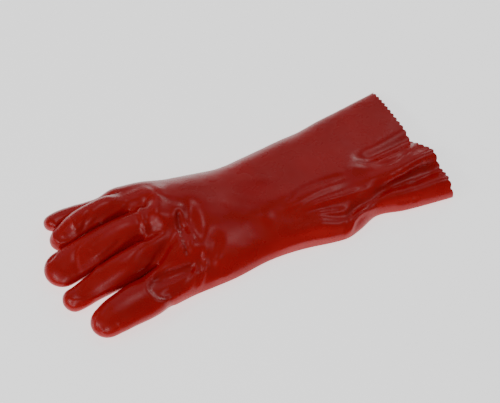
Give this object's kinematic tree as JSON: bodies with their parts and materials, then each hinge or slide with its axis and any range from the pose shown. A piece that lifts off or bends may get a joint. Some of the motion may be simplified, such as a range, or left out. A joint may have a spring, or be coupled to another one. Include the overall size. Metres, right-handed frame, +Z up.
{
  "type": "gauntlet work glove",
  "caption": "Long PVC coated work glove for the right hand, empty and lying palm down, with a flared gauntlet and a pinked cuff edge.",
  "frame": {"origin": "centre of the bounding box's bottom face, on the floor that the glove lies on", "axes": "+X from the fingertips to the cuff, +Y from the thumb side to the little finger side, +Z up out of the back of the hand"},
  "size_m": [0.4036, 0.1646, 0.0451],
  "materials": {
    "pvc_skin": "gloss"
  },
  "bodies": {
    "root": {"glove_shell": "pvc_skin"}
  },
  "joints": []
}
